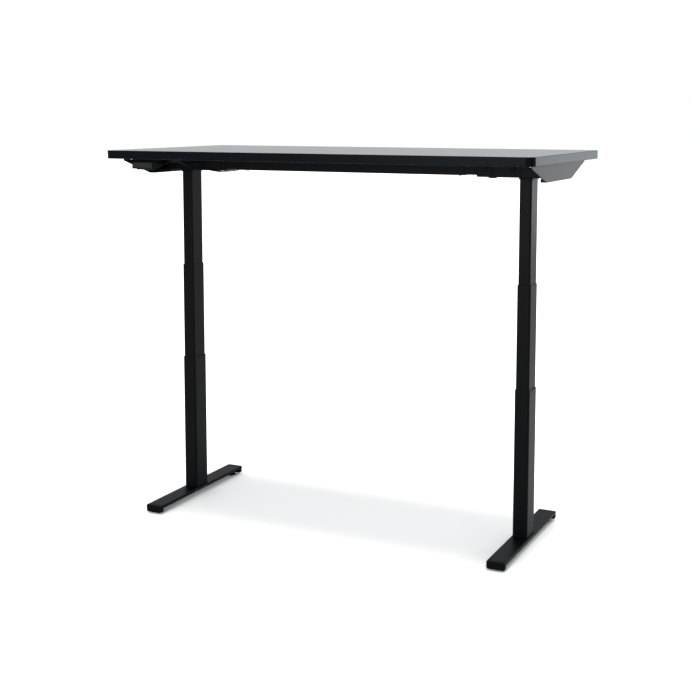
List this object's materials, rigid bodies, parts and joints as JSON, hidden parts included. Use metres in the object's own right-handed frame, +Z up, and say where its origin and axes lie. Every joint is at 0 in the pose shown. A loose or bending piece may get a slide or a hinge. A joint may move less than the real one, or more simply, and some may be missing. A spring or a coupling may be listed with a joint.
{
  "type": "height adjustable standing desk",
  "caption": "Electric sit-stand desk with a rectangular laminate top on a telescoping steel frame, three-stage lifting columns, flat feet and a hand controller.",
  "frame": {"origin": "on the floor, under the centre of the desktop, desk raised to full height", "axes": "+X along the desk to the user's right, +Y away from the user, +Z up"},
  "size_m": [1.5, 0.75, 1.27],
  "materials": {
    "desktop_laminate": "fine grained black laminate, satin",
    "black_powder_coat": "fine textured black powder coat",
    "zinc_screw": "zinc plated",
    "cast_housing": "die cast, matt",
    "motor_can": "blackened steel can",
    "drive_steel": "turned and lightly oiled",
    "bearing_plastic": "natural acetal",
    "collar_plastic": "matt moulded nylon",
    "black_plastic": "fine textured ABS",
    "glide_pad": "hard moulded pad",
    "button_plastic": "moulded keys",
    "inlet_plastic": "moulded socket",
    "cable_sheath": "PVC sheath"
  },
  "bodies": {
    "base_left": {"foot_left": "black_powder_coat", "foot_cap_front_left": "black_plastic", "foot_cap_rear_left": "black_plastic", "outer_tube_left": "black_powder_coat", "lower_collar_left": "collar_plastic", "lead_screw_left": "drive_steel"},
    "middle_left": {"middle_tube_left": "black_powder_coat", "upper_collar_left": "collar_plastic", "spindle_bearing_left": "bearing_plastic"},
    "top": {"desktop": "desktop_laminate", "beam_rail_left": "black_powder_coat", "leg_head_left": "black_powder_coat", "side_bracket_left": "black_powder_coat", "inner_tube_left": "black_powder_coat", "head_bolt_left_outer": "black_powder_coat", "head_bolt_left_inner": "black_powder_coat", "beam_screw_left": "zinc_screw", "gearbox_left": "cast_housing", "motor_left": "motor_can", "nut_plate_left": "bearing_plastic", "beam_rail_right": "black_powder_coat", "leg_head_right": "black_powder_coat", "side_bracket_right": "black_powder_coat", "inner_tube_right": "black_powder_coat", "head_bolt_right_outer": "black_powder_coat", "head_bolt_right_inner": "black_powder_coat", "beam_screw_right": "zinc_screw", "gearbox_right": "cast_housing", "motor_right": "motor_can", "nut_plate_right": "bearing_plastic", "beam_centre": "black_powder_coat", "control_box": "black_plastic", "handset_housing": "black_plastic", "power_inlet": "inlet_plastic", "handset_cable": "cable_sheath", "motor_cable_left": "cable_sheath", "motor_cable_right": "cable_sheath"},
    "middle_right": {"middle_tube_right": "black_powder_coat", "upper_collar_right": "collar_plastic", "spindle_bearing_right": "bearing_plastic"},
    "base_right": {"foot_right": "black_powder_coat", "foot_cap_front_right": "black_plastic", "foot_cap_rear_right": "black_plastic", "outer_tube_right": "black_powder_coat", "lower_collar_right": "collar_plastic", "lead_screw_right": "drive_steel"},
    "spindle_left": {"hollow_spindle_left": "drive_steel"},
    "sleeve_left": {"drive_sleeve_left": "drive_steel"},
    "glide_front_left": {"glide_front_left": "glide_pad"},
    "glide_rear_left": {"glide_rear_left": "glide_pad"},
    "spindle_right": {"hollow_spindle_right": "drive_steel"},
    "sleeve_right": {"drive_sleeve_right": "drive_steel"},
    "glide_front_right": {"glide_front_right": "glide_pad"},
    "glide_rear_right": {"glide_rear_right": "glide_pad"},
    "button_up": {"button_up": "button_plastic"},
    "button_down": {"button_down": "button_plastic"},
    "button_memory_a": {"button_memory_a": "button_plastic"},
    "button_memory_b": {"button_memory_b": "button_plastic"}
  },
  "joints": [
    {"name": "lift_lower_left", "type": "slide", "parent": "base_left", "child": "middle_left", "axis": [0, 0, 1], "range_m": [-0.325, 0]},
    {"name": "lift_upper_left", "type": "slide", "parent": "middle_left", "child": "top", "axis": [0, 0, 1], "range_m": [-0.325, 0]},
    {"name": "lift_upper_right", "type": "slide", "parent": "top", "child": "middle_right", "axis": [0, 0, 1], "range_m": [0, 0.325]},
    {"name": "lift_lower_right", "type": "slide", "parent": "middle_right", "child": "base_right", "axis": [0, 0, 1], "range_m": [0, 0.325]},
    {"name": "spindle_turn_left", "type": "hinge", "parent": "middle_left", "child": "spindle_left", "pos_m": [-0.628, -0.024, 0.5], "axis": [0, 0, 1], "range_deg": [-5860, 10]},
    {"name": "sleeve_turn_left", "type": "hinge", "parent": "top", "child": "sleeve_left", "pos_m": [-0.628, -0.024, 1], "axis": [0, 0, 1], "range_deg": [-5860, 10]},
    {"name": "glide_adjust_front_left", "type": "slide", "parent": "base_left", "child": "glide_front_left", "axis": [0, 0, 1], "range_m": [-0.01, 0]},
    {"name": "glide_adjust_rear_left", "type": "slide", "parent": "base_left", "child": "glide_rear_left", "axis": [0, 0, 1], "range_m": [-0.01, 0]},
    {"name": "spindle_turn_right", "type": "hinge", "parent": "middle_right", "child": "spindle_right", "pos_m": [0.628, -0.024, 0.5], "axis": [0, 0, 1], "range_deg": [-5860, 10]},
    {"name": "sleeve_turn_right", "type": "hinge", "parent": "top", "child": "sleeve_right", "pos_m": [0.628, -0.024, 1], "axis": [0, 0, 1], "range_deg": [-5860, 10]},
    {"name": "glide_adjust_front_right", "type": "slide", "parent": "base_right", "child": "glide_front_right", "axis": [0, 0, 1], "range_m": [-0.01, 0]},
    {"name": "glide_adjust_rear_right", "type": "slide", "parent": "base_right", "child": "glide_rear_right", "axis": [0, 0, 1], "range_m": [-0.01, 0]},
    {"name": "press_up", "type": "slide", "parent": "top", "child": "button_up", "axis": [0, 0, 1], "range_m": [0, 0.0015], "stiffness_N_per_m": 600, "springref_m": -0.0015},
    {"name": "press_down", "type": "slide", "parent": "top", "child": "button_down", "axis": [0, 0, 1], "range_m": [0, 0.0015], "stiffness_N_per_m": 600, "springref_m": -0.0015},
    {"name": "press_memory_a", "type": "slide", "parent": "top", "child": "button_memory_a", "axis": [0, 0, 1], "range_m": [0, 0.0015], "stiffness_N_per_m": 600, "springref_m": -0.0015},
    {"name": "press_memory_b", "type": "slide", "parent": "top", "child": "button_memory_b", "axis": [0, 0, 1], "range_m": [0, 0.0015], "stiffness_N_per_m": 600, "springref_m": -0.0015}
  ],
  "couplings": [
    {"joint": "lift_upper_left", "follows": "lift_lower_left", "ratio": 1},
    {"joint": "lift_upper_right", "follows": "lift_lower_left", "ratio": -1},
    {"joint": "lift_lower_right", "follows": "lift_lower_left", "ratio": -1},
    {"joint": "spindle_turn_left", "follows": "lift_lower_left", "rad_per_m": 314.16},
    {"joint": "sleeve_turn_left", "follows": "lift_lower_left", "rad_per_m": 314.16},
    {"joint": "spindle_turn_right", "follows": "lift_lower_left", "rad_per_m": 314.16},
    {"joint": "sleeve_turn_right", "follows": "lift_lower_left", "rad_per_m": 314.16}
  ]
}
